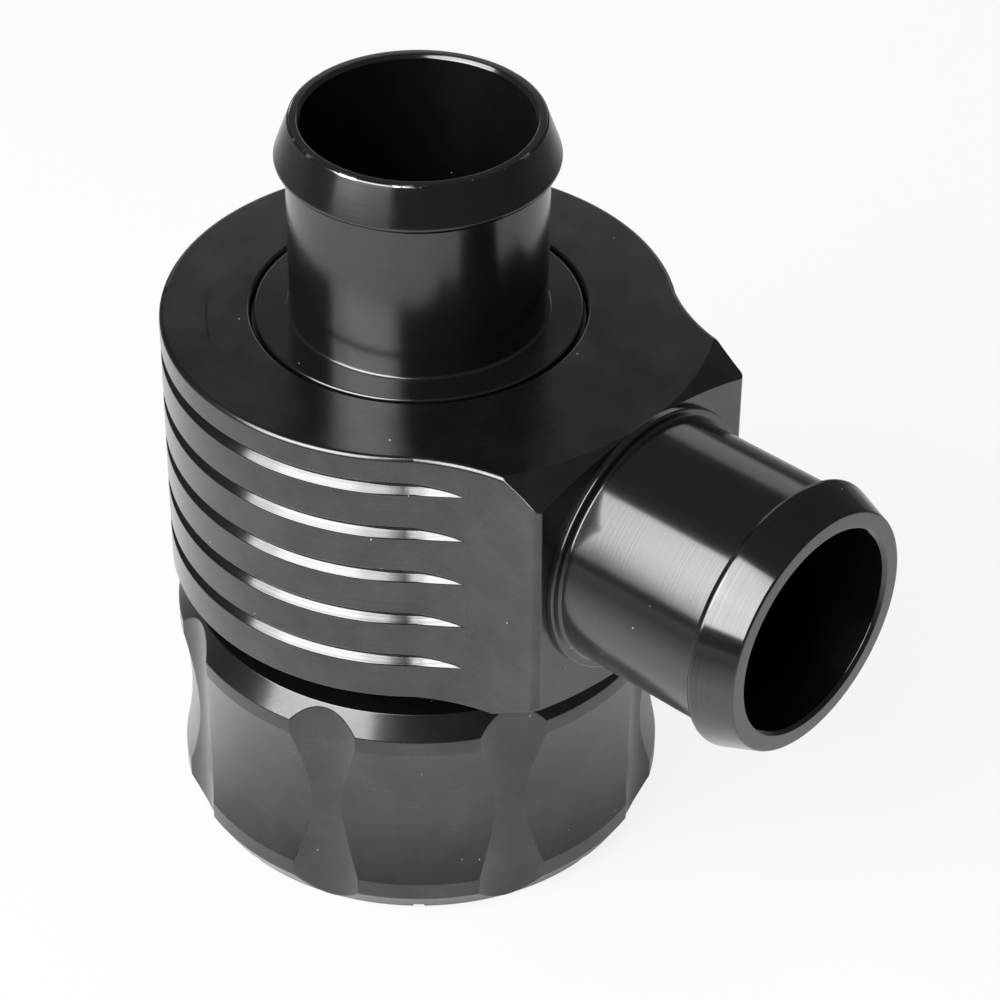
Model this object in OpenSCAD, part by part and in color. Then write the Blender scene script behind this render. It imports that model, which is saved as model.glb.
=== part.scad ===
// Blow off valve: piston-type diverter valve in turned aluminium, standing on its grip cap.
// The main axis is Z with the origin on the cap's end face, and the outlet points along +X.

/* [Body] */
// Diameter of the round body
body_d = 76; // [74:0.5:78]
// Height of the body block
body_h = 44; // [43:0.5:50]
// Radius along the body's top edge
top_round = 0.7; // [0.4:0.05:1]
// Chamfer along the body's bottom edge
bottom_edge = 0.8; // [0.4:0.1:1.2]
// Gap between the body and the grip cap at rest
cap_gap = 5; // [4.75:0.25:7]
// Diameter of the bore that the piston slides in
piston_bore_d = 43; // [42:0.25:44]
// Diameter of the port between the piston bore and the outlet tail
port_d = 28; // [24:0.5:29]

/* [Grooves] */
// Number of grooves round the body
groove_count = 5; // [3:1:5]
// Width of a groove at the body's surface
groove_w = 2.15; // [1.8:0.05:2.5]
// Depth of a groove
groove_depth = 1; // [0.8:0.05:1.3]
// Width of the flat at a groove's bottom
groove_root = 0.15; // [0.1:0.05:0.3]
// Depth of the first groove's middle below the body's top
groove_first = 5.3; // [4:0.1:6]
// Distance from one groove to the next
groove_pitch = 7.75; // [6:0.05:8]
// Angle from the outlet to the pointed end of a groove
groove_tip_angle = 43; // [40:0.5:50]
// Diameter of the cutter that leaves the pointed ends
groove_cutter_d = 32; // [24:1:40]

/* [Outlet pad] */
// Distance from the main axis to the pad's flat face
pad_reach = 43.6; // [42.5:0.1:46]
// Width of the pad
pad_w = 45; // [43:0.5:47]
// Radius of the pad's upright edges
pad_edge_r = 1.2; // [0.6:0.1:1.8]
// Angle from the outlet to where the hollow flare leaves the round body
flare_angle = 48; // [46:0.5:49]
// Slope of the turned cones that cut the pad's corners
pad_cone_angle = 35; // [30:1:40]
// How far the lower cone starts inside the pad's face
pad_cone_inset = 1.6; // [0.5:0.1:3]
// Depth of the outlet's axis below the body's top
outlet_drop = 20; // [20:0.25:22]

/* [Hose tails] */
// Outside diameter of both hose tails
tail_d = 38; // [36.5:0.25:39]
// Diameter over the hose beads
bead_d = 41.1; // [40.5:0.1:43]
// Length of the bead's tapered lead-in
bead_l = 5.8; // [4:0.1:8]
// Radius of the bead's crest
bead_crest_r = 0.8; // [0.4:0.1:0.8]
// Diameter of a tail's end face
tail_end_d = 37.2; // [36.4:0.1:38]
// Small chamfer on turned edges
turned_edge = 0.3; // [0.1:0.05:0.5]
// Chamfer inside the mouths of both bores
mouth_edge = 0.5; // [0.2:0.05:0.6]
// Length of the inlet tail above the body
inlet_l = 32; // [26:0.5:45]
// Bore of the inlet tail
inlet_bore_d = 33.4; // [31:0.2:34]
// Length of the outlet tail outside its collar
outlet_l = 30.8; // [26:0.2:45]
// Bore of the outlet tail
outlet_bore_d = 31; // [29:0.2:32]
// Diameter of the outlet's collar
collar_d = 41; // [40:0.1:42]
// Thickness of the outlet's collar
collar_t = 1.1; // [0.8:0.1:2]
// Length of the outlet's spigot in the pad
spigot_l = 9; // [7:0.5:12]
// Wall of that spigot round the outlet's bore
spigot_wall = 2.75; // [2.4:0.05:3]
// Radius at the root of the inlet tail
root_r = 0.5; // [0.2:0.1:1]

/* [Inlet flange] */
// Diameter of the inlet flange's rim
flange_d = 48; // [47:0.5:50]
// Width of the groove left round the rim
flange_gap = 0.8; // [0.5:0.1:1.2]
// Depth of that groove
flange_gap_depth = 1.5; // [0.8:0.1:2.4]
// Thickness of the flange
flange_t = 4.5; // [4:0.1:5]
// Length of the valve seat below the flange
seat_l = 3; // [2:0.25:4]

/* [Piston and spring] */
// Length of the piston
piston_l = 38; // [36:0.5:40]
// Thickness of the piston's crown
crown_t = 4; // [3.5:0.25:6]
// Thickness of the piston's wall
piston_wall = 2.9; // [2.6:0.1:4]
// Height of the piston's guide ring
guide_h = 5; // [3:0.25:5.5]
// Thickness of the guide ring
guide_t = 1.4; // [1:0.1:1.6]
// Height of the guide ring above the piston's lower end
guide_rise = 2; // [1.5:0.25:3]
// Wall left between the guide ring's and the seal ring's grooves
ring_web = 1.5; // [1:0.1:2]
// Wire diameter of the spring
wire_d = 2.6; // [2:0.1:3]
// Mean diameter of the spring
spring_d = 28; // [26:0.5:30]
// Turns of the spring, with a closed turn at each end
spring_turns = 9; // [6:1:12]

/* [Grip cap] */
// Height of the grip cap
cap_h = 38.5; // [38:0.5:44]
// Diameter of the cap over its bands
cap_d = 75; // [74:0.5:80]
// Height of the cone at the cap's upper end
cap_cone_h = 3.7; // [2:0.1:5]
// Slope of that cone from the upright
cap_cone_angle = 30; // [20:1:40]
// Height of the upper band
upper_band_h = 2.5; // [1.5:0.1:4]
// Height of the lower band
lower_band_h = 2.9; // [1.5:0.1:4]
// Height of the taper at the cap's lower end
foot_h = 3.2; // [1.5:0.1:4]
// How far that taper goes in
foot_in = 1.8; // [1:0.1:2.2]
// Depth of the hollow waist between the bands
waist_depth = 1.4; // [0.8:0.05:1.8]
// Number of finger flutes
flute_count = 8; // [6:1:8]
// Radius of a flute
flute_r = 11; // [9:0.5:14]
// Depth of a flute below the bands
flute_depth = 1.75; // [1.3:0.05:2]
// Turn of the cap about its axis
cap_clock = -2.5; // [-22:0.5:22]
// Width of the pin-spanner slots in the end face
slot_w = 1.6; // [1:0.1:2.5]
// Depth of those slots
slot_depth = 0.7; // [0.4:0.1:1]
// Length of those slots
slot_l = 4; // [2:0.5:8]
// Thickness of the cap's end wall
cap_floor = 8; // [7:0.25:9]
// Diameter of the cap's thread
thread_d = 58; // [57:0.5:59]
// Length of the thread on the body's neck
thread_l = 12.5; // [12:0.25:13]
// Length of the plain nose below that thread
nose_l = 12; // [11.5:0.25:12.5]
// How much smaller the nose is than the thread, on the radius
nose_step = 1.1; // [0.8:0.1:1.6]
// Depth of the thread in the cap
cap_thread_l = 13.5; // [12.5:0.25:14]
// Drill diameter of the threaded signal port
signal_d = 8.8; // [7:0.1:11]
// Diameter of the spring seat
seat_d = 40; // [37:0.5:41]
// Thickness of the spring seat's plate
seat_t = 3; // [2:0.25:3.5]
// Height of the spring seat's boss
seat_boss_h = 6; // [3:0.5:10]
// Air hole through the spring seat
seat_hole_d = 10; // [6:0.5:14]
// Thickness of the thrust washer
washer_t = 1; // [0.6:0.1:1.2]
// Width of the thrust washer
washer_w = 7; // [4:0.5:8]
// Depth of the recess that centres the washer
washer_recess = 0.6; // [0.3:0.1:0.8]

/* [Seals and clearances] */
// Section of the static seal rings
static_seal_d = 1.6; // [1.2:0.1:1.8]
// Section of the moving seal rings
moving_seal_d = 2; // [1.6:0.1:2.2]
// Section of the ring in the piston's face
face_seal_d = 2.4; // [2:0.1:2.8]
// Radial clearance of the piston in its bore
piston_fit = 0.05; // [0.02:0.01:0.08]
// Radial clearance of screwed parts
thread_fit = 0.1; // [0.05:0.01:0.15]
// Clearance of a seal ring from the wall it wipes
wipe_gap = 0.1; // [0.05:0.01:0.2]
// Clearance of a ring in its groove
ring_gap = 0.05; // [0.03:0.01:0.1]
// Clearance of the inlet flange in its recess
flange_fit = 0.15; // [0.05:0.01:0.25]
// Gap between the closed piston's crown and the valve seat
face_gap = 0.35; // [0.3:0.05:0.5]
// Clearance between loose parts that lie inside each other
loose_fit = 0.3; // [0.2:0.05:0.5]

/* [Hidden] */
$fn = 128;
// Overlap that lets cuts pass through a face
cut = 1;

// Heights along the main axis
body_bottom = cap_h + cap_gap;
body_top = body_bottom + body_h;
outlet_z = body_top - outlet_drop;
inlet_end = body_top + inlet_l;
ledge_z = body_top - flange_t;
seat_z = ledge_z - seat_l;
thread_bottom = body_bottom - thread_l;
nose_bottom = thread_bottom - nose_l;
crown_z = seat_z - face_gap;
piston_bottom = crown_z - piston_l;
guide_z = piston_bottom + guide_rise;
piston_seal_z = guide_z + guide_h + ring_web + moving_seal_d / 2 + 3 * ring_gap;
washer_z = cap_floor - washer_recess;
seat_plate_z = washer_z + washer_t;
spring_z = seat_plate_z + seat_t;
spring_l = crown_z - crown_t - spring_z;
cap_seal_z = nose_bottom + moving_seal_d;

// Radii
body_r = body_d / 2;
bore_r = piston_bore_d / 2;
recess_r = flange_d / 2 + flange_gap;
thread_r = thread_d / 2;
nose_r = thread_r - nose_step;
cap_seal_bore_r = nose_r + thread_fit;
spigot_r = outlet_bore_d / 2 + spigot_wall;
spigot_hole_r = spigot_r + thread_fit;
piston_r = bore_r - piston_fit;
piston_seal_floor = bore_r - wipe_gap - moving_seal_d - ring_gap;
guide_floor = piston_r - guide_t - ring_gap;
cap_seal_floor = cap_seal_bore_r - wipe_gap - moving_seal_d - ring_gap;
face_seal_r = (inlet_bore_d / 2 + bore_r) / 2;
inlet_seal_r = (bore_r + recess_r) / 2;
outlet_seal_r = spigot_hole_r - ring_gap - static_seal_d / 2;
outlet_seal_x = pad_reach - 2 * static_seal_d;
collar_x = pad_reach + collar_t;
outlet_end = collar_x + outlet_l;

// The flare's hollow: it runs along the pad's edge and meets the round body at the flare angle
kink = body_r * [cos(flare_angle), sin(flare_angle)];
flare_in = pad_reach - kink.x;
flare_out = kink.y - pad_w / 2;
flare_r = (flare_in ^ 2 + flare_out ^ 2) / (2 * flare_out);
// Room for the pad's block to end inside the round body
kink_room = 1.6;

// The cutter's centre when it leaves a groove, and the angle over which it runs out
cutter_r = groove_cutter_d / 2;
cutter_far = body_r - groove_depth + cutter_r;
cutter_exit = acos((body_r ^ 2 + cutter_far ^ 2 - cutter_r ^ 2) / (2 * body_r * cutter_far));
groove_end_angle = groove_tip_angle + cutter_exit;

// Wire sections round one turn of the spring, and sides of a section
turn_steps = 24;
wire_sides = 10;

anodised = [0.09, 0.09, 0.095];
rubber = [0.05, 0.05, 0.05];

// A ring of round section lying flat about Z.
module o_ring(mean_r, section) {
    rotate_extrude() translate([mean_r, 0]) circle(d = section, $fn = 48);
}

// A flat ring from one radius to another.
module flat_ring(outer_r, inner_r, height) {
    difference() {
        cylinder(r = outer_r, h = height);
        translate([0, 0, -cut]) cylinder(r = inner_r, h = height + 2 * cut);
    }
}

// The round block with its top edge rounded and its bottom edge chamfered.
module round_block() rotate_extrude() {
    polygon([[0, body_bottom], [body_r - bottom_edge, body_bottom], [body_r, body_bottom + bottom_edge],
             [body_r, body_top - top_round], [body_r - top_round, body_top], [0, body_top]]);
    translate([body_r - top_round, body_top - top_round]) circle(r = top_round, $fn = 48);
}

// The turned cutter for one flare, which widens at both ends to leave the same edges.
module flare_cutter(side) translate([pad_reach, side * (pad_w / 2 + flare_r), 0]) rotate_extrude()
    difference() {
        polygon([[0, body_bottom - cut], [flare_r + bottom_edge + cut, body_bottom - cut],
                 [flare_r, body_bottom + bottom_edge], [flare_r, body_top - top_round],
                 [flare_r + top_round, body_top], [flare_r + top_round, body_top + cut],
                 [0, body_top + cut]]);
        translate([flare_r + top_round, body_top - top_round]) circle(r = top_round, $fn = 48);
    }

// The outlet pad's block with its flares, rounded upright edges and coned corners.
module pad_block() intersection() {
    difference() {
        translate([0, -kink.y - kink_room, body_bottom])
            cube([pad_reach, 2 * (kink.y + kink_room), body_h]);
        for (side = [1, -1]) flare_cutter(side);
        for (side = [1, -1])
            translate([0, 0, body_bottom - cut]) linear_extrude(body_h + 2 * cut) pad_corner(side);
    }
    pad_cones();
}

// What is cut away outside the pad's rounded upright edge.
module pad_corner(side) {
    translate([pad_reach - pad_edge_r, side * (pad_w / 2 - pad_edge_r)])
        difference() {
            translate([0, side > 0 ? 0 : -2 * pad_edge_r]) square(2 * pad_edge_r);
            circle(r = pad_edge_r, $fn = 48);
        }
}

// The turned outline that gives the pad's upper and lower corners their cones.
module pad_cones() {
    far = pad_reach + pad_w;
    low = pad_reach - pad_cone_inset;
    rise = tan(pad_cone_angle);
    rotate_extrude()
        polygon([[0, body_bottom], [low, body_bottom], [far, body_bottom + (far - low) * rise],
                 [far, body_top - (far - pad_reach) * rise], [pad_reach, body_top], [0, body_top]]);
}

// One V-shaped groove with a pointed run-out of the cutter at each end.
module body_groove() {
    narrow = groove_root / 2;
    wide = groove_w / 2 + cut * (groove_w - groove_root) / (2 * groove_depth);
    floor_r = body_r - groove_depth;
    inner_r = cutter_r - groove_depth - cut;
    rotate(groove_end_angle) rotate_extrude(angle = 360 - 2 * groove_end_angle)
        polygon([[floor_r, -narrow], [body_r + cut, -wide], [body_r + cut, wide], [floor_r, narrow]]);
    for (side = [1, -1])
        rotate(side * groove_end_angle) translate([cutter_far, 0, 0]) rotate_extrude()
            polygon([[cutter_r, -narrow], [cutter_r, narrow], [inner_r, wide], [inner_r, -wide]]);
}

// Body: round block with the outlet pad, and a threaded neck that goes into the grip cap.
module valve_body() color(anodised) difference() {
    union() {
        round_block();
        pad_block();
        translate([0, 0, thread_bottom]) cylinder(r = thread_r, h = thread_l + cut);
        translate([0, 0, nose_bottom]) cylinder(r = nose_r, h = nose_l + cut);
    }
    for (n = [0 : groove_count - 1])
        translate([0, 0, body_top - groove_first - n * groove_pitch]) body_groove();
    // piston bore, flange recess and its chamfered mouth
    translate([0, 0, nose_bottom - cut]) cylinder(r = bore_r, h = body_top - nose_bottom + 2 * cut);
    translate([0, 0, ledge_z]) cylinder(r = recess_r, h = flange_t + cut);
    translate([0, 0, body_top - turned_edge])
        cylinder(r1 = recess_r, r2 = recess_r + turned_edge + cut, h = turned_edge + cut);
    // outlet port and the spigot's hole
    translate([0, 0, outlet_z]) rotate([0, 90, 0]) cylinder(d = port_d, h = pad_reach + cut);
    translate([pad_reach - spigot_l, 0, outlet_z]) rotate([0, 90, 0])
        cylinder(r = spigot_hole_r, h = spigot_l + cut);
    // groove for the cap's seal ring
    translate([0, 0, cap_seal_z - moving_seal_d / 2 - ring_gap])
        flat_ring(nose_r + cut, cap_seal_floor, moving_seal_d + 2 * ring_gap);
}

// The outer half-section of a hose tail from its root to its end, with the bead at the end.
module tail_section(root, end) {
    tail_r = tail_d / 2;
    end_r = tail_end_d / 2;
    crest = [bead_d / 2 - bead_crest_r, end - bead_l];
    lead = [end_r, end - turned_edge] - crest;
    reach = norm(lead);
    touch_angle = atan2(lead.y, lead.x) - acos(bead_crest_r / reach);
    touch = crest + bead_crest_r * [cos(touch_angle), sin(touch_angle)];
    back = crest.y - bead_crest_r;
    translate([0, root]) square([tail_r, end - root - bead_l]);
    translate(crest) circle(r = bead_crest_r, $fn = 48);
    polygon([[0, back - (crest.x - tail_r)], [tail_r, back - (crest.x - tail_r)], [crest.x, back], crest,
             touch, [end_r, end - turned_edge], [end_r - turned_edge, end], [0, end]]);
}

// A through bore from one height to a mouth, with the chamfer inside the mouth.
module tail_bore(bore_r, from, mouth) {
    translate([0, 0, from]) cylinder(r = bore_r, h = mouth - from + cut);
    translate([0, 0, mouth - mouth_edge])
        cylinder(r1 = bore_r, r2 = bore_r + mouth_edge + cut, h = mouth_edge + cut);
}

// Inlet tail: hose end, flange let into the body's top, and the valve seat below it.
module inlet_tail() color(anodised) difference() {
    rotate_extrude() {
        tail_section(body_top, inlet_end);
        inlet_flange_section();
    }
    tail_bore(inlet_bore_d / 2, seat_z - cut, inlet_end);
    translate([0, 0, ledge_z - cut])
        flat_ring(inlet_seal_r + static_seal_d / 2 + ring_gap, inlet_seal_r - static_seal_d / 2 - ring_gap,
                  static_seal_d + 2 * ring_gap + cut);
}

// Half-section of the inlet's flange, its root radius and the seat.
module inlet_flange_section() {
    rim_r = flange_d / 2;
    tail_r = tail_d / 2;
    polygon([[0, seat_z], [bore_r - thread_fit, seat_z], [bore_r - thread_fit, ledge_z],
             [recess_r - flange_fit, ledge_z], [recess_r - flange_fit, body_top - flange_gap_depth],
             [rim_r, body_top - flange_gap_depth], [rim_r, body_top - turned_edge],
             [rim_r - turned_edge, body_top], [0, body_top]]);
    translate([tail_r, body_top]) difference() {
        square(root_r);
        translate([root_r, root_r]) circle(r = root_r, $fn = 48);
    }
}

// Seal ring below the inlet's flange.
module inlet_seal_ring() color(rubber)
    translate([0, 0, ledge_z + static_seal_d / 2 + ring_gap]) o_ring(inlet_seal_r, static_seal_d);

// Outlet tail: hose end, thin collar on the pad, and a screwed spigot inside it.
module outlet_tail() color(anodised) translate([0, 0, outlet_z]) rotate([0, 90, 0]) difference() {
    rotate_extrude() {
        tail_section(collar_x, outlet_end);
        polygon([[0, pad_reach], [collar_d / 2, pad_reach], [collar_d / 2, collar_x - turned_edge],
                 [collar_d / 2 - turned_edge, collar_x], [0, collar_x]]);
        translate([0, pad_reach - spigot_l + loose_fit]) square([spigot_r, spigot_l]);
    }
    tail_bore(outlet_bore_d / 2, pad_reach - spigot_l - cut, outlet_end);
    translate([0, 0, outlet_seal_x - static_seal_d / 2 - ring_gap])
        flat_ring(spigot_r + cut, outlet_seal_r - static_seal_d / 2 - ring_gap, static_seal_d + 2 * ring_gap);
}

// Seal ring round the outlet's spigot.
module outlet_seal_ring() color(rubber)
    translate([outlet_seal_x, 0, outlet_z]) rotate([0, 90, 0]) o_ring(outlet_seal_r, static_seal_d);

// Piston: cup that closes on the inlet's seat, open below for the spring.
module piston() color(anodised) difference() {
    translate([0, 0, piston_bottom]) cylinder(r = piston_r, h = piston_l);
    translate([0, 0, piston_bottom - cut]) cylinder(r = piston_r - piston_wall, h = piston_l - crown_t + cut);
    translate([0, 0, crown_z - face_seal_d + face_gap - 2 * ring_gap])
        flat_ring(face_seal_r + face_seal_d / 2 + ring_gap, face_seal_r - face_seal_d / 2 - ring_gap,
                  face_seal_d + cut);
    translate([0, 0, piston_seal_z - moving_seal_d / 2 - ring_gap])
        flat_ring(piston_r + cut, piston_seal_floor, moving_seal_d + 2 * ring_gap);
    translate([0, 0, guide_z - ring_gap]) flat_ring(piston_r + cut, guide_floor, guide_h + 2 * ring_gap);
}

// Seal ring in the piston's face.
module piston_face_seal() color(rubber)
    translate([0, 0, seat_z - ring_gap - face_seal_d / 2]) o_ring(face_seal_r, face_seal_d);

// Seal ring round the piston, below the port.
module piston_seal_ring() color(rubber)
    translate([0, 0, piston_seal_z]) o_ring(piston_seal_floor + ring_gap + moving_seal_d / 2, moving_seal_d);

// Plain guide ring at the piston's lower end.
module piston_guide_ring() color("ivory")
    translate([0, 0, guide_z]) flat_ring(piston_r, guide_floor + ring_gap, guide_h);

// Height of the wire's middle after a share of the spring's turns: closed end turns, even pitch between.
function wire_height(turn) =
    let (free = spring_l - 3 * wire_d - 2 * ring_gap, open = spring_turns - 2)
    wire_d / 2 + ring_gap + wire_d * (min(turn, 1) + max(0, turn - spring_turns + 1))
    + free * max(0, min(turn - 1, open)) / open;

// A point on the wire's surface: a section's corner, turned to its place on the coil.
function wire_point(step, corner) =
    let (turn = step / turn_steps, a = 360 * turn, b = 360 * corner / wire_sides,
         r = spring_d / 2 + wire_d / 2 * cos(b))
    [r * cos(a), r * sin(a), wire_height(turn) + wire_d / 2 * sin(b)];

// Spring between the seat and the piston's crown.
module main_spring() color("silver") translate([0, 0, spring_z]) {
    steps = turn_steps * spring_turns;
    points = [for (s = [0 : steps], c = [0 : wire_sides - 1]) wire_point(s, c)];
    sides = [for (s = [0 : steps - 1], c = [0 : wire_sides - 1])
        let (d = (c + 1) % wire_sides, base = s * wire_sides, next = base + wire_sides)
        [base + c, next + c, next + d, base + d]];
    ends = [[for (c = [0 : wire_sides - 1]) c],
            [for (c = [wire_sides - 1 : -1 : 0]) steps * wire_sides + c]];
    polyhedron(points, concat(sides, ends));
}

// Plate that carries the spring's lower end, with a boss inside the coil.
module spring_seat() color("silver") translate([0, 0, seat_plate_z]) difference() {
    union() {
        cylinder(d = seat_d, h = seat_t);
        cylinder(d = spring_d - wire_d - 2 * loose_fit, h = seat_t + seat_boss_h);
    }
    translate([0, 0, -cut]) cylinder(d = seat_hole_d, h = seat_t + seat_boss_h + 2 * cut);
}

// Washer that lets the cap turn under the spring seat.
module thrust_washer() color("goldenrod")
    translate([0, 0, washer_z]) flat_ring(seat_d / 2, seat_d / 2 - washer_w, washer_t);

// Seal ring between the body's nose and the cap.
module cap_seal_ring() color(rubber)
    translate([0, 0, cap_seal_z]) o_ring(cap_seal_floor + ring_gap + moving_seal_d / 2, moving_seal_d);

// Grip cap: waisted and fluted, screwed on the body's neck, and the valve's foot.
module grip_cap() color(anodised) rotate(cap_clock) difference() {
    rotate_extrude() cap_section();
    for (n = [0 : flute_count - 1])
        rotate((n + 0.5) * 360 / flute_count)
            translate([cap_d / 2 - flute_depth + flute_r, 0, -cut]) cylinder(r = flute_r, h = cap_h + 2 * cut);
    for (n = [0 : flute_count - 1])
        rotate(n * 360 / flute_count) translate([cap_d / 2 - foot_in - slot_l, -slot_w / 2, -cut])
            cube([slot_l + foot_in + cut, slot_w, slot_depth + cut]);
    translate([0, 0, cap_floor]) cylinder(r = cap_seal_bore_r, h = cap_h);
    translate([0, 0, cap_h - cap_thread_l]) cylinder(r = thread_r + thread_fit, h = cap_h);
    translate([0, 0, washer_z]) cylinder(r = seat_d / 2 + loose_fit, h = cap_floor);
    translate([0, 0, -cut]) cylinder(d = signal_d, h = cap_floor + 2 * cut);
}

// Half-section of the cap: foot taper, lower band, hollow waist, upper band and cone.
module cap_section() {
    r = cap_d / 2;
    waist_low = foot_h + lower_band_h;
    waist_high = cap_h - cap_cone_h - upper_band_h;
    half = (waist_high - waist_low) / 2;
    waist_r = (half ^ 2 + waist_depth ^ 2) / (2 * waist_depth);
    difference() {
        polygon([[0, 0], [r - foot_in, 0], [r, foot_h], [r, cap_h - cap_cone_h],
                 [r - cap_cone_h * tan(cap_cone_angle), cap_h], [0, cap_h]]);
        translate([r - waist_depth + waist_r, waist_low + half]) circle(r = waist_r, $fn = 360);
    }
}

valve_body();
inlet_tail();
inlet_seal_ring();
outlet_tail();
outlet_seal_ring();
piston();
piston_face_seal();
piston_seal_ring();
piston_guide_ring();
main_spring();
spring_seat();
thrust_washer();
cap_seal_ring();
grip_cap();
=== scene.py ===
import math
import bmesh
import bpy
from mathutils import Matrix, Quaternion, Vector


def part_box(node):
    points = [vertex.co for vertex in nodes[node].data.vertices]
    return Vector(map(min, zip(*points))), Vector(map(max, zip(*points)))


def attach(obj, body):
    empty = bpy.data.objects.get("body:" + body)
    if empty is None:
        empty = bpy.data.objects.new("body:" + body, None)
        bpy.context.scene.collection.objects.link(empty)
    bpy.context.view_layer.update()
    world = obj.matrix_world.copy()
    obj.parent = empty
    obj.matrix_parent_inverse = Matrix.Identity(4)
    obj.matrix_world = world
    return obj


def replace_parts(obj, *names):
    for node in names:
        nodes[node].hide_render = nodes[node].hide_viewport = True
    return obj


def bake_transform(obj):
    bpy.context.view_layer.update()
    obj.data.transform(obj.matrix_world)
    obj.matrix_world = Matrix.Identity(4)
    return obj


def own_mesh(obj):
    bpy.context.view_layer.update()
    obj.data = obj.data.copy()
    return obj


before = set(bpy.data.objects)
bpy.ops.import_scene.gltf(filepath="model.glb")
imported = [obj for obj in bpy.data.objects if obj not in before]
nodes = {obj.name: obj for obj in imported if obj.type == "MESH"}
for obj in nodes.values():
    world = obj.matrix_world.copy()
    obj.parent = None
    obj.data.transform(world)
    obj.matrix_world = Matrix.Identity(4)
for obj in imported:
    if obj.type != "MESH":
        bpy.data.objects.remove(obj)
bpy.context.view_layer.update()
scene = bpy.context.scene

# Valve body: a billet of aluminium, turned with five V grooves and milled to a flared outlet pad.
# It is blasted, apart from the grooves, and anodised black: a dyed oxide layer under a clear gloss.
# Its sharp edges are broken by hand, and the oxide is chipped here and there along them.
MM = 0.001
BODY_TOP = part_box("valve_body")[1].z
EDGE_BREAK = 0.14 * MM
WELD_GAP = 0.03 * MM
FLAT_WITHIN = math.radians(0.05)
GROOVE_FIRST = 5.3 * MM
GROOVE_PITCH = 7.75 * MM
GROOVE_COUNT = 5
GROOVE_HALF = 1.05 * MM
GROOVE_INNER_R = 30.0 * MM
GROOVE_OUTER_R = 44.0 * MM
FLANK_LEAN = 0.3
LINE_DEPTH = 0.002 * MM
GRAIN_DEPTH = 0.0012 * MM
BLACK = (0.068, 0.0638, 0.0648)
BARE = (0.62, 0.62, 0.63, 1)
DUST = (0.34, 0.35, 0.35, 1)
DUST_MATT = 0.5
OXIDE_METALLIC = 0.94
GLOSS_WEIGHT = 0.6
GLOSS_IOR = 1.6
SMOOTHEST = 0.88
ROUGHEST = 1.15
FINER = 0.72
FINE_WITHIN = 0.05 * MM
SCRATCH_HALF = 0.16 * MM
SCRATCH_TONE = 0.3
SCRATCH_TAPER = 0.3
TOP_SCRATCH = {
    "arc_centre": Vector((8.4 * MM, 6.9 * MM, BODY_TOP)),
    "arc_radius": 41.9 * MM,
    "middle": Vector((-20.2 * MM, -23.7 * MM, BODY_TOP)),
    "reach": 9.1 * MM,
}


def made_of(bm, name):
    """An object at the origin from a mesh in the making."""
    mesh = bpy.data.meshes.new(name)
    bm.to_mesh(mesh)
    bm.free()
    thing = bpy.data.objects.new(name, mesh)
    scene.collection.objects.link(thing)
    return thing


def eased(node_name, body, ease, sharper_than=18):
    """A copy of a CAD node with its sharp edges broken and marked for wear, in place of that node.

    The faces keep the normals of the CAD surfaces, and a broken edge runs from one to the other."""
    source = nodes[node_name].data
    bm = bmesh.new()
    bm.from_mesh(source)
    wear = bm.faces.layers.float.new("wear")
    cad_normal = bm.loops.layers.float_vector.new("true_normal")
    for face in bm.faces:
        for loop in face.loops:
            loop[cad_normal] = source.corner_normals[loop.index].vector
    bmesh.ops.remove_doubles(bm, verts=bm.verts, dist=WELD_GAP)
    bmesh.ops.recalc_face_normals(bm, faces=bm.faces)
    bmesh.ops.dissolve_limit(bm, angle_limit=FLAT_WITHIN, verts=bm.verts, edges=bm.edges)
    limit = math.radians(sharper_than)
    sharp = []
    for edge in bm.edges:
        if len(edge.link_loops) == 2:
            first, second = edge.link_loops
            if first[cad_normal].angle(second.link_loop_next[cad_normal], 0.0) > limit:
                sharp.append(edge)
    made = bmesh.ops.bevel(
        bm, geom=sharp, offset=ease, offset_type="OFFSET", affect="EDGES",
        segments=2, profile=0.5, material=-1, clamp_overlap=False,
    )
    for face in made["faces"]:
        face[wear] = 1.0
    bm.normal_update()
    normals = []
    for face in bm.faces:
        face.smooth = True
        for loop in face.loops:
            kept = [loop]
            if face[wear]:
                kept = [near for near in loop.vert.link_loops if not near.face[wear]]
            parts = [near[cad_normal] for near in kept] or [near.normal for near in loop.vert.link_faces]
            normals.append(sum(parts, Vector()).normalized())
    piece = made_of(bm, node_name + "_eased")
    piece.data.normals_split_custom_set(normals)
    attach(piece, body)
    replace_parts(piece, node_name)
    return piece


def put(tree, socket, value):
    """Links a socket to another one, or sets its own value."""
    if isinstance(value, bpy.types.NodeSocket):
        tree.links.new(value, socket)
    else:
        socket.default_value = value


def add(tree, kind, inputs=None, **settings):
    """A node with its settings, and links or values for its sockets by index or name."""
    node = tree.nodes.new(kind)
    for key, value in settings.items():
        setattr(node, key, value)
    for key, value in (inputs or {}).items():
        put(tree, node.inputs[key], value)
    return node


def calc(tree, operation, first, second=0.0):
    """The result of one sum on two sockets or numbers."""
    return add(tree, "ShaderNodeMath", {0: first, 1: second}, operation=operation).outputs[0]


def apart(tree, first, second):
    """How far two points are apart."""
    inputs = {0: first, 1: second}
    return add(tree, "ShaderNodeVectorMath", inputs, operation="DISTANCE").outputs["Value"]


def span(tree, value, low, high, to_low=0.0, to_high=1.0):
    """A value stretched from one range to another, and kept inside it."""
    inputs = {"Value": value, "From Min": low, "From Max": high, "To Min": to_low, "To Max": to_high}
    return add(tree, "ShaderNodeMapRange", inputs).outputs["Result"]


def sway(tree, pattern, low, high):
    """A value that goes with a noise pattern from a low one to a high one."""
    return span(tree, pattern, 0.3, 0.7, low, high)


def shaded(tree, colour, factor):
    """A colour made darker or lighter by a factor."""
    inputs = {0: colour, "Scale": factor}
    return add(tree, "ShaderNodeVectorMath", inputs, operation="SCALE").outputs[0]


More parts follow.
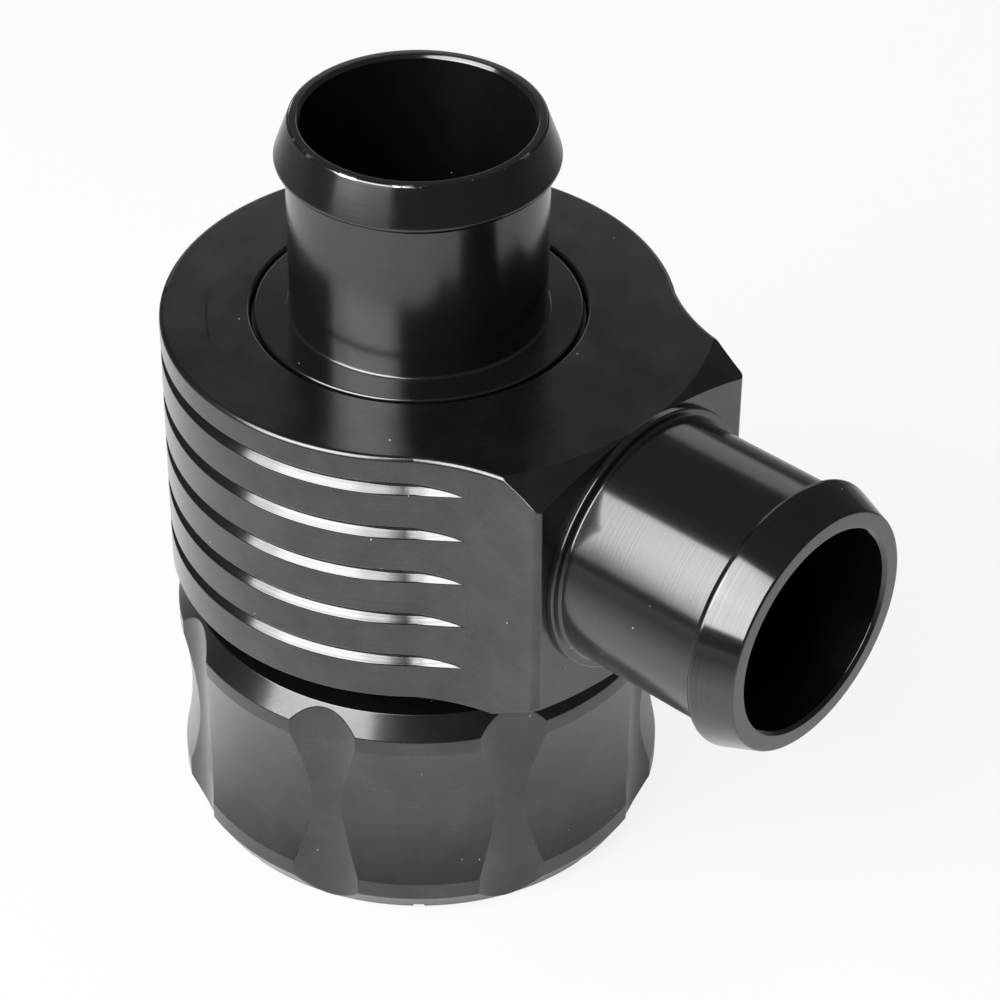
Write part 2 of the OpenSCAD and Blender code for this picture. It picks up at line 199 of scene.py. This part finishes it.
def covered(tree, under, over, mask):
    """A colour with another over it where a mask says so, by the colour sockets of the mixing node."""
    inputs = {"Factor": mask, 6: under, 7: over}
    return add(tree, "ShaderNodeMix", inputs, data_type="RGBA").outputs[2]


def noise(tree, vector, per_metre, detail, roughness=0.5):
    """Noise of a number of features in a metre."""
    inputs = {"Vector": vector, "Scale": per_metre, "Detail": detail, "Roughness": roughness}
    return add(tree, "ShaderNodeTexNoise", inputs).outputs["Fac"]


def new_group(name, outputs, number=None):
    """An empty node group that takes a vector, and a number if that has a name, with its two end nodes."""
    group = bpy.data.node_groups.new(name, "ShaderNodeTree")
    group.interface.new_socket("Vector", in_out="INPUT", socket_type="NodeSocketVector")
    if number:
        group.interface.new_socket(number, in_out="INPUT", socket_type="NodeSocketFloat")
    for label in outputs:
        group.interface.new_socket(label, in_out="OUTPUT", socket_type="NodeSocketFloat")
    return group, group.nodes.new("NodeGroupInput"), group.nodes.new("NodeGroupOutput")


def skin_group():
    """A blasted and dyed skin: fine grain, wide clouds of dye and rare specks of dust."""
    group, start, end = new_group("Blasted skin", ("Grain", "Cloud", "Dust"))
    vector = start.outputs["Vector"]
    put(group, end.inputs["Grain"], noise(group, vector, per_metre=4200.0, detail=1.0, roughness=0.6))
    put(group, end.inputs["Cloud"], noise(group, vector, per_metre=130.0, detail=4.0, roughness=0.62))
    cells = add(group, "ShaderNodeTexVoronoi", {"Vector": vector, "Scale": 260.0})
    patches = noise(group, vector, per_metre=90.0, detail=0.0)
    size = span(group, patches, 0.45, 0.7, 0.012, 0.042)
    put(group, end.inputs["Dust"], calc(group, "LESS_THAN", cells.outputs["Distance"], size))
    return group


def turned_group():
    """Tool marks round the Z axis: they change with the height and the radius alone."""
    group, start, end = new_group("Turned lines", ("Lines",), "Per mm")
    parts = add(group, "ShaderNodeSeparateXYZ", {0: start.outputs["Vector"]}).outputs
    flat = add(group, "ShaderNodeCombineXYZ", {0: parts["X"], 1: parts["Y"]}).outputs[0]
    radius = add(group, "ShaderNodeVectorMath", {0: flat}, operation="LENGTH").outputs["Value"]
    along = calc(group, "MULTIPLY", calc(group, "ADD", radius, parts["Z"]), 1 / MM)
    inputs = {"W": along, "Scale": start.outputs["Per mm"], "Detail": 2.0, "Roughness": 0.65}
    lines = add(group, "ShaderNodeTexNoise", inputs, noise_dimensions="1D").outputs["Fac"]
    put(group, end.inputs["Lines"], lines)
    return group


def wear_group():
    """Where the oxide has gone from a broken edge, from the mesh's own mark for such edges."""
    group, start, end = new_group("Edge wear", ("Worn",), "Amount")
    mark = add(group, "ShaderNodeAttribute", attribute_name="wear").outputs["Fac"]
    patches = noise(group, start.outputs["Vector"], per_metre=170.0, detail=5.0, roughness=0.75)
    chip_from = calc(group, "SUBTRACT", 1.0, start.outputs["Amount"])
    chipped = span(group, patches, chip_from, calc(group, "ADD", chip_from, 0.06))
    on_edge = calc(group, "GREATER_THAN", mark, 0.6)
    put(group, end.inputs["Worn"], calc(group, "MULTIPLY", chipped, on_edge))
    return group


skin = skin_group()
turned = turned_group()
worn = wear_group()


def new_material(name):
    """An empty material, with its node tree and the inputs of its shader."""
    material = bpy.data.materials.new(name)
    material.use_nodes = True
    tree = material.node_tree
    return material, tree, tree.nodes["Principled BSDF"].inputs


def scratched(tree, spot, arc_centre, arc_radius, middle, reach):
    """A factor that is dark along an arc, to a reach from the scratch's middle, where it thins out."""
    away = calc(tree, "SUBTRACT", apart(tree, spot, arc_centre), arc_radius)
    width = span(tree, apart(tree, spot, middle), SCRATCH_TAPER * reach, reach, SCRATCH_HALF, 0.0)
    inside = calc(tree, "LESS_THAN", calc(tree, "ABSOLUTE", away), width)
    return span(tree, inside, 0.0, 1.0, 1.0, SCRATCH_TONE)


def anodised(name, roughness, lines_per_mm, mottle, grain, streak, wear, spread=0.0, fine_above=None,
             centre=(0, 0, 0), turn=(0, 0, 0), scratch=None):
    """Black anodised aluminium, with the tool marks of a piece whose axis is placed by centre and turn.

    Mottle, grain and streak are how far the clouds of dye, the blasting and the tool marks change its tone,
    and spread is how far the tool marks spread the light. Above a height on its axis it is less rough."""
    material, tree, shader = new_material(name)
    spot = add(tree, "ShaderNodeTexCoord").outputs["Object"]
    inputs = {"Vector": spot, "Location": centre, "Rotation": turn}
    axial = add(tree, "ShaderNodeMapping", inputs, vector_type="TEXTURE").outputs[0]
    surface = add(tree, "ShaderNodeGroup", node_tree=skin)
    put(tree, surface.inputs["Vector"], spot)
    marks = add(tree, "ShaderNodeGroup", node_tree=turned)
    put(tree, marks.inputs["Vector"], axial)
    put(tree, marks.inputs["Per mm"], lines_per_mm)
    chips = add(tree, "ShaderNodeGroup", node_tree=worn)
    put(tree, chips.inputs["Vector"], axial)
    put(tree, chips.inputs["Amount"], wear)
    blasting, cloud, dust = (surface.outputs[label] for label in ("Grain", "Cloud", "Dust"))
    lines = marks.outputs["Lines"]

    dye = sway(tree, cloud, 1 - mottle, 1 + mottle)
    dye = calc(tree, "MULTIPLY", dye, sway(tree, lines, 1 - streak, 1 + streak))
    dye = calc(tree, "MULTIPLY", dye, sway(tree, blasting, 1 - grain, 1 + grain))
    if scratch:
        dye = calc(tree, "MULTIPLY", dye, scratched(tree, spot, **scratch))
    tint = covered(tree, shaded(tree, BLACK, dye), BARE, chips.outputs["Worn"])
    put(tree, shader["Base Color"], covered(tree, tint, DUST, dust))
    put(tree, shader["Metallic"], span(tree, dust, 0.0, 1.0, OXIDE_METALLIC, 0.0))

    matt = sway(tree, cloud, roughness * SMOOTHEST, roughness * ROUGHEST)
    if fine_above:
        height = add(tree, "ShaderNodeSeparateXYZ", {0: axial}).outputs["Z"]
        finer = span(tree, height, fine_above, fine_above + FINE_WITHIN, 1.0, FINER)
        matt = calc(tree, "MULTIPLY", matt, finer)
    matt = calc(tree, "ADD", matt, calc(tree, "MULTIPLY", dust, DUST_MATT))
    put(tree, shader["Roughness"], matt)
    put(tree, shader["Coat Weight"], GLOSS_WEIGHT)
    put(tree, shader["Coat IOR"], GLOSS_IOR)
    put(tree, shader["Coat Roughness"], roughness)
    cut = add(tree, "ShaderNodeBump", {"Height": lines, "Distance": LINE_DEPTH}).outputs[0]
    inputs = {"Height": blasting, "Distance": GRAIN_DEPTH, "Normal": cut}
    put(tree, shader["Normal"], add(tree, "ShaderNodeBump", inputs).outputs[0])
    if spread:
        inputs = {0: (0, 0, 1), 1: axial}
        around = add(tree, "ShaderNodeVectorMath", inputs, operation="CROSS_PRODUCT").outputs[0]
        inputs = {"Vector": around, "Rotation": turn}
        around = add(tree, "ShaderNodeMapping", inputs, vector_type="VECTOR").outputs[0]
        to_world = {"vector_type": "VECTOR", "convert_from": "OBJECT", "convert_to": "WORLD"}
        around = add(tree, "ShaderNodeVectorTransform", {"Vector": around}, **to_world).outputs[0]
        put(tree, shader["Tangent"], around)
        put(tree, shader["Anisotropic"], spread)
        put(tree, shader["Anisotropic Rotation"], 0.25)
    return material


body = eased("valve_body", "valve", EDGE_BREAK, sharper_than=30)
body.data.materials.append(anodised(
    "anodised_body", roughness=0.2, lines_per_mm=1.6, mottle=0.26, grain=0.12, streak=0.06, wear=0.3,
    scratch=TOP_SCRATCH,
))
body.data.materials.append(anodised(
    "anodised_groove", roughness=0.13, lines_per_mm=1.8, mottle=0.1, grain=0.05, streak=0.3, wear=0.3,
    turn=(math.pi, 0, 0),
))
groove_heights = [BODY_TOP - GROOVE_FIRST - GROOVE_PITCH * n for n in range(GROOVE_COUNT)]
for face in body.data.polygons:
    in_groove = any(abs(face.center.z - height) < GROOVE_HALF for height in groove_heights)
    leans = abs(face.normal.z) > FLANK_LEAN
    outside = GROOVE_INNER_R < face.center.xy.length < GROOVE_OUTER_R
    face.material_index = int(in_groove and leans and outside)

# Inlet tail: turned from bar with a hose bead, a flange let into the body's top and the valve seat below.
# It is held by the flange, and a hose pushed on and off has chipped the oxide on its mouth.
# Its skin is finer than the body's, with the lines of the turning tool. Tail sizes are in millimetres.
TAIL_STEPS = 160
TAIL_R = 19.0
ROOT_ROUND = 0.5
BEAD_L = 6.6
BEAD_STEP = 0.75
BEAD_CREST = 1.893
BEAD_ROUND = 1.04
BEAD_SKIN_L = 5.7
END_IN = 0.509
MOUTH_EDGE = 0.5
WORN_R = 18.4
WORN_IN = 0.1
WORN_REACH = 0.3
INLET_BORE_R = 16.7
SEAT_R = 21.4
FLANGE_Z = 83.0
FLANGE_R = 24.65
SEAL_TOP = 84.7
SEAL_INNER_R = 22.3
SEAL_OUTER_R = 24.0
RIM_Z = 86.0
RIM_R = 24.2
CHIPS_TURN = (0, 0, math.radians(-41))


def tail(node_name, outline, end):
    """A ring turned about Z from its half-section, in place of a CAD node, with a mark for wear at its mouth.

    Each corner of the half-section has a radius, a height and a length cut back to round it, in mm.
    The bead, next to the end's height, takes the second of its two materials."""
    bm = bmesh.new()
    corners = [bm.verts.new((radius * MM, 0, height * MM)) for radius, height, cut_back in outline]
    bm.faces.new(corners)
    for corner, (radius, height, cut_back) in zip(corners, outline):
        if cut_back:
            bmesh.ops.bevel(
                bm, geom=[corner], offset=cut_back * MM, offset_type="OFFSET", affect="VERTICES",
                segments=8 if cut_back >= BEAD_ROUND else 4, profile=0.5, material=-1,
            )
    bmesh.ops.delete(bm, geom=bm.faces[:], context="FACES_ONLY")
    bmesh.ops.spin(bm, geom=bm.verts[:] + bm.edges[:], cent=(0, 0, 0), axis=(0, 0, 1),
                   angle=math.tau, steps=TAIL_STEPS, use_merge=True)
    bmesh.ops.remove_doubles(bm, verts=bm.verts, dist=0.001 * MM)
    bmesh.ops.recalc_face_normals(bm, faces=bm.faces)
    wear = bm.faces.layers.float.new("wear")
    for face in bm.faces:
        face.smooth = True
        spot = face.calc_center_median() / MM
        from_mouth = math.hypot(spot.xy.length - WORN_R, spot.z - (end - WORN_IN))
        face[wear] = float(from_mouth < WORN_REACH)
        face.material_index = int(spot.z > end - BEAD_SKIN_L)
    piece = made_of(bm, node_name + "_turned")
    piece.data.set_sharp_from_angle(angle=math.radians(35))
    piece.modifiers.new("even shading", "WEIGHTED_NORMAL").keep_sharp = True
    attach(piece, "valve")
    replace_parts(piece, node_name)
    return piece


def hose_end(root, end, bore_r):
    """The corners of a hose tail from its root to its bead and round its mouth into the bore."""
    bead = end - BEAD_L
    return [
        (TAIL_R, root, ROOT_ROUND), (TAIL_R, bead - BEAD_STEP, 0.15), (TAIL_R + BEAD_STEP, bead, 0.08),
        (TAIL_R + BEAD_CREST, bead, BEAD_ROUND), (TAIL_R - END_IN, end, 0.3),
        (bore_r + MOUTH_EDGE, end, 0.1), (bore_r, end - MOUTH_EDGE, 0.1),
    ]


seat_end, inlet_end = (corner.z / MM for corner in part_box("inlet_tail"))
inlet = tail("inlet_tail", [
    (INLET_BORE_R, seat_end, 0.15), (SEAT_R, seat_end, 0.15), (SEAT_R, FLANGE_Z, 0),
    (SEAL_INNER_R, FLANGE_Z, 0), (SEAL_INNER_R, SEAL_TOP, 0), (SEAL_OUTER_R, SEAL_TOP, 0),
    (SEAL_OUTER_R, FLANGE_Z, 0), (FLANGE_R, FLANGE_Z, 0), (FLANGE_R, RIM_Z, 0.1), (RIM_R, RIM_Z, 0),
    (RIM_R, BODY_TOP / MM, 0.35), *hose_end(BODY_TOP / MM, inlet_end, INLET_BORE_R),
], inlet_end)
inlet_skin = {"lines_per_mm": 4.0, "mottle": 0.1, "grain": 0.07, "streak": 0.08, "wear": 0.47,
              "turn": CHIPS_TURN}
inlet.data.materials.append(anodised("anodised_inlet", roughness=0.18, spread=0.65, **inlet_skin))
inlet.data.materials.append(anodised("anodised_inlet_bead", roughness=0.13, **inlet_skin))

# Outlet tail: the same hose end with a thin collar, screwed into the pad along X by a spigot.
# It is turned and anodised like the inlet, and the tool lines run round its own axis.
OUTLET_AXIS_Z = 67.5 * MM
SIDEWAYS = math.radians(90)
OUTLET_BORE_R = 15.5
SPIGOT_R = 18.25
SPIGOT_SEAL_R = 16.65
SPIGOT_SEAL_FROM = 39.55
SPIGOT_SEAL_TO = 41.25
COLLAR_R = 20.5
COLLAR_FROM = 43.6
COLLAR_TO = 44.7
spigot_end, outlet_end = (corner.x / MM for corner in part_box("outlet_tail"))
outlet = tail("outlet_tail", [
    (OUTLET_BORE_R, spigot_end, 0.15), (SPIGOT_R, spigot_end, 0.15), (SPIGOT_R, SPIGOT_SEAL_FROM, 0),
    (SPIGOT_SEAL_R, SPIGOT_SEAL_FROM, 0), (SPIGOT_SEAL_R, SPIGOT_SEAL_TO, 0), (SPIGOT_R, SPIGOT_SEAL_TO, 0),
    (SPIGOT_R, COLLAR_FROM, 0), (COLLAR_R, COLLAR_FROM, 0.1), (COLLAR_R, COLLAR_TO, 0.3),
    *hose_end(COLLAR_TO, outlet_end, OUTLET_BORE_R),
], outlet_end)
outlet.data.transform(Matrix.Translation((0, 0, OUTLET_AXIS_Z)) @ Matrix.Rotation(SIDEWAYS, 4, "Y"))
outlet_skin = {"lines_per_mm": 4.0, "mottle": 0.06, "grain": 0.03, "streak": 0.11, "wear": 0.3,
               "centre": (0, 0, OUTLET_AXIS_Z), "turn": (0, SIDEWAYS, 0)}
outlet.data.materials.append(anodised("anodised_outlet", roughness=0.16, spread=0.75, **outlet_skin))
outlet.data.materials.append(anodised("anodised_outlet_bead", roughness=0.11, **outlet_skin))

# Seal rings: moulded nitrile rubber rings in the inlet's flange, on the outlet's spigot, in the piston
# and between the body's nose and the cap. They are matt black, with the bloom of a moulded skin.
RUBBER = (0.02, 0.02, 0.021)


def moulded(name, colour, roughness, bloom):
    """A moulded or pressed part with a cloudy skin."""
    material, tree, shader = new_material(name)
    surface = add(tree, "ShaderNodeGroup", node_tree=skin)
    put(tree, surface.inputs["Vector"], add(tree, "ShaderNodeTexCoord").outputs["Object"])
    shade = sway(tree, surface.outputs["Cloud"], 1 - bloom, 1 + bloom)
    put(tree, shader["Base Color"], shaded(tree, colour, shade))
    matt = span(tree, surface.outputs["Grain"], 0.2, 0.8, roughness - 0.06, roughness + 0.06)
    put(tree, shader["Roughness"], matt)
    return material


def dress(material, *names):
    """Gives CAD nodes a better material, and keeps their shape."""
    for name in names:
        nodes[name].data.materials.clear()
        nodes[name].data.materials.append(material)


dress(moulded("seal_rubber", RUBBER, roughness=0.55, bloom=0.25),
      "inlet_seal_ring", "outlet_seal_ring", "piston_face_seal", "piston_seal_ring", "cap_seal_ring")

# Piston: a cup turned from bar and hard anodised, which slides in the body's bore and closes on the seat.
# A pressed ring of filled plastic guides its lower end.
GUIDE_PLASTIC = (0.72, 0.69, 0.6)
piston = eased("piston", "piston", EDGE_BREAK)
piston.data.materials.append(anodised(
    "anodised_piston", roughness=0.2, lines_per_mm=2.4, mottle=0.06, grain=0.03, streak=0.1, wear=0.3,
))
dress(moulded("guide_plastic", GUIDE_PLASTIC, roughness=0.42, bloom=0.06), "piston_guide_ring")

# Spring: bright steel wire wound to nine turns, closed at each end, between its seat and the piston.
# It is pushed shorter from above by the piston, and from below by the seat as the cap screws in.
# So it is made as two lengths that meet.
WIRE_D = 2.6 * MM
WIRE_SIDES = 14
COIL_R = 14.0 * MM
CLOSED_TURNS = 1
OPEN_TURNS = 7
LOWER_OPEN_TURNS = 2
TURN_STEPS = 40
SPRING_STEEL = (0.55, 0.55, 0.56, 1)
low, high = (corner.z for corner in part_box("main_spring"))
open_pitch = (high - low - WIRE_D * (1 + 2 * CLOSED_TURNS)) / OPEN_TURNS
split = low + WIRE_D * (0.5 + CLOSED_TURNS) + LOWER_OPEN_TURNS * open_pitch


def coil(name, start, stretches):
    """Round wire wound from a height up, by stretches of turns that each have a pitch."""
    bm = bmesh.new()
    place = Matrix.Translation((COIL_R, 0, start)) @ Matrix.Rotation(math.radians(90), 4, "X")
    bmesh.ops.create_circle(bm, cap_ends=True, segments=WIRE_SIDES, radius=WIRE_D / 2, matrix=place)
    geom = bm.verts[:] + bm.edges[:] + bm.faces[:]
    for turns, pitch in stretches:
        made = bmesh.ops.spin(bm, geom=geom, axis=(0, 0, 1), cent=(0, 0, 0), angle=math.tau * turns,
                              dvec=(0, 0, pitch / TURN_STEPS), steps=TURN_STEPS * turns)
        geom = made["geom_last"]
    bmesh.ops.remove_doubles(bm, verts=bm.verts, dist=0.001 * MM)
    bmesh.ops.recalc_face_normals(bm, faces=bm.faces)
    for face in bm.faces:
        face.smooth = len(face.verts) == 4
    piece = made_of(bm, name)
    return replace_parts(piece, "main_spring")


def bright_metal(name, colour, roughness, lines_per_mm):
    """Plain turned or drawn metal with fine lines."""
    material, tree, shader = new_material(name)
    put(tree, shader["Metallic"], 1.0)
    put(tree, shader["Base Color"], colour)
    marks = add(tree, "ShaderNodeGroup", node_tree=turned)
    put(tree, marks.inputs["Vector"], add(tree, "ShaderNodeTexCoord").outputs["Object"])
    put(tree, marks.inputs["Per mm"], lines_per_mm)
    lines = marks.outputs["Lines"]
    put(tree, shader["Roughness"], sway(tree, lines, roughness * 0.8, roughness * 1.25))
    cut = add(tree, "ShaderNodeBump", {"Height": lines, "Distance": LINE_DEPTH}).outputs[0]
    put(tree, shader["Normal"], cut)
    return material


wire = bright_metal("spring_steel", SPRING_STEEL, roughness=0.26, lines_per_mm=5.0)
closed = (CLOSED_TURNS, WIRE_D)
lower = coil("spring_lower", low + WIRE_D / 2, [closed, (LOWER_OPEN_TURNS, open_pitch)])
upper = coil("spring_upper", split, [(OPEN_TURNS - LOWER_OPEN_TURNS, open_pitch), closed])
for piece in (lower, upper):
    piece.data.materials.append(wire)
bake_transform(lower)
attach(upper, "valve")
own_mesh(upper)

# Spring seat: a plain turned plate with a boss that centres the spring, on a brass washer.
# The washer lies in the cap's end wall, so that the cap turns under the spring without winding it.
SEAT_EDGE_BREAK = 0.2 * MM
SEAT_ALUMINIUM = (0.72, 0.73, 0.75, 1)
BRASS = (0.72, 0.56, 0.25, 1)
seat = eased("spring_seat", "seat", SEAT_EDGE_BREAK)
seat.data.materials.append(bright_metal("seat_aluminium", SEAT_ALUMINIUM, roughness=0.3, lines_per_mm=3.0))
dress(bright_metal("washer_brass", BRASS, roughness=0.33, lines_per_mm=2.0), "thrust_washer")

# Grip cap: turned with a hollow waist between two bands and a cone above, then milled with finger flutes.
# It screws on the body's neck to set the spring, and the valve stands on it.
# It is blasted a little coarser than the body, apart from its cone, and anodised with it.
CONE_Z = 34.8 * MM
cap = eased("grip_cap", "cap", EDGE_BREAK)
cap.data.materials.append(anodised(
    "anodised_cap", roughness=0.25, lines_per_mm=1.2, mottle=0.2, grain=0.08, streak=0.04, wear=0.28,
    fine_above=CONE_Z,
))

# Stage: a wide pale floor under the valve, and behind it a curved pale wall raised off the floor.
# Both are painted matt, and look nearly white to the camera.
# In metal they look brighter than they are lit, and the floor is duller where it is seen at a low angle.
FLOOR_R = 3.0
FLOOR_SIDES = 96
FLOOR_GAP = 0.05 * MM
WALL_R = 1.1
WALL_STEPS = 24
WALL_FOOT = 12.0
WALL_TOP = 34.0
WALL_FROM = 195
WALL_TO = 245
PAINT = (0.6, 0.6, 0.6, 1)
WHITE = (1, 1, 1, 1)
GLOW = 0.86
GLOW_IN_METAL = 0.25
STEEP = 0.37
FLAT = 0.76
DULL = 0.76
DIM = 0.02


def toward(azimuth, elevation=0.0, distance=1.0):
    """A point seen from the valve at an azimuth from -Y towards +X, and an elevation, in degrees."""
    turn = math.radians(azimuth)
    rise = math.radians(elevation)
    level = distance * math.cos(rise)
    return Vector((level * math.sin(turn), -level * math.cos(turn), distance * math.sin(rise)))


def straight_rays(tree):
    """Whether a ray comes from the camera, straight or through a clear piece."""
    rays = add(tree, "ShaderNodeLightPath").outputs
    return calc(tree, "MAXIMUM", rays["Is Camera Ray"], rays["Is Transmission Ray"])


def studio_paint(name, dull):
    """Pale paint that is white to the camera, and in metal duller where it is seen at a low angle."""
    paint = bpy.data.materials.new(name)
    paint.use_nodes = True
    tree = paint.node_tree
    tree.nodes.clear()
    in_metal = add(tree, "ShaderNodeLightPath").outputs["Is Glossy Ray"]
    matt = add(tree, "ShaderNodeBsdfDiffuse", {"Color": PAINT}).outputs[0]
    glow = add(tree, "ShaderNodeEmission", {"Color": WHITE, "Strength": 1.0}).outputs[0]
    dark = add(tree, "ShaderNodeEmission", {"Color": WHITE, "Strength": DIM}).outputs[0]
    share = calc(tree, "MULTIPLY", in_metal, GLOW_IN_METAL)
    share = calc(tree, "MAXIMUM", share, calc(tree, "MULTIPLY", straight_rays(tree), GLOW))
    pale = add(tree, "ShaderNodeMixShader", {0: share, 1: matt, 2: glow}).outputs[0]
    tilt = add(tree, "ShaderNodeLayerWeight", {"Blend": 0.5}).outputs["Facing"]
    fade = calc(tree, "MULTIPLY", in_metal, span(tree, tilt, STEEP, FLAT, 0.0, dull))
    faded = add(tree, "ShaderNodeMixShader", {0: fade, 1: pale, 2: dark}).outputs[0]
    add(tree, "ShaderNodeOutputMaterial", {"Surface": faded})
    return paint


def stand(name, bm, paint):
    """A piece of the stage from a mesh in the making."""
    thing = made_of(bm, name)
    thing.data.materials.append(paint)


bm = bmesh.new()
below = Matrix.Translation((0, 0, -FLOOR_GAP))
bmesh.ops.create_circle(bm, cap_ends=True, segments=FLOOR_SIDES, radius=FLOOR_R, matrix=below)
stand("floor", bm, studio_paint("floor_white", DULL))
bm = bmesh.new()
rises = [WALL_R * math.tan(math.radians(elevation)) for elevation in (WALL_FOOT, WALL_TOP)]
foot, head = (bm.verts.new(toward(WALL_FROM, 0, WALL_R) + Vector((0, 0, rise))) for rise in rises)
edge = bm.edges.new((foot, head))
bmesh.ops.spin(bm, geom=[foot, head, edge], cent=(0, 0, 0), axis=(0, 0, 1),
               angle=math.radians(WALL_TO - WALL_FROM), steps=WALL_STEPS)
stand("wall", bm, studio_paint("wall_white", 0.0))

# Light: one tall softbox to the left of the camera that is brighter in the middle, a wide soft light above
# that only matt surfaces show, and a dim room that is pale to the camera.
AIM = Vector((0.0, 0.0, 0.06))
DAYLIGHT = (0.972, 0.984, 1.0)
ROOM = 0.085


def softbox(name, azimuth, elevation, distance, width, height, radiance, lean=0.0):
    """A soft rectangular light that faces the valve, from its radiance. A lean is to the left, in degrees."""
    lamp = bpy.data.lights.new(name, "AREA")
    lamp.shape = "RECTANGLE"
    lamp.size = width
    lamp.size_y = height
    lamp.energy = radiance * math.pi * width * height
    lamp.color = DAYLIGHT
    thing = bpy.data.objects.new(name, lamp)
    thing.location = AIM + toward(azimuth, elevation, distance)
    facing = toward(azimuth, elevation).to_track_quat("Z", "Y")
    thing.rotation_euler = (facing @ Quaternion((0, 0, 1), math.radians(lean))).to_euler()
    thing.visible_camera = False
    scene.collection.objects.link(thing)
    return thing


softbox("key", azimuth=-5.5, elevation=36.5, distance=1.0, width=0.94, height=1.05, radiance=6.8, lean=10)
heart = softbox("key_heart", azimuth=-3.0, elevation=37.0, distance=0.99, width=0.6, height=0.56,
                radiance=2.7, lean=10)
heart.data.shape = "ELLIPSE"
overhead = softbox("overhead", azimuth=0, elevation=90, distance=1.2, width=1.4, height=1.4, radiance=1.2)
overhead.visible_glossy = False
room = bpy.data.worlds.new("room")
room.use_nodes = True
tree = room.node_tree
background = tree.nodes["Background"].inputs
put(tree, background["Color"], WHITE)
put(tree, background["Strength"], span(tree, straight_rays(tree), 0.0, 1.0, ROOM, GLOW))
scene.world = room

# Camera: a long lens that looks down on the valve between its two tails.
# Its place and its turn, in degrees, are fitted to how the tails, the body and the cap lie in the photo.
CAMERA_PLACE = Vector((293.981, -310.98, 380.296)) * MM
CAMERA_TURN = (52.4397, -0.5277, 42.1619)
lens = bpy.data.cameras.new("camera")
lens.sensor_width = 36.0
lens.lens = 127.234
lens.clip_end = 20.0
camera = bpy.data.objects.new("camera", lens)
camera.location = CAMERA_PLACE
camera.rotation_euler = [math.radians(turn) for turn in CAMERA_TURN]
scene.collection.objects.link(camera)
scene.camera = camera
scene.view_settings.view_transform = "Standard"
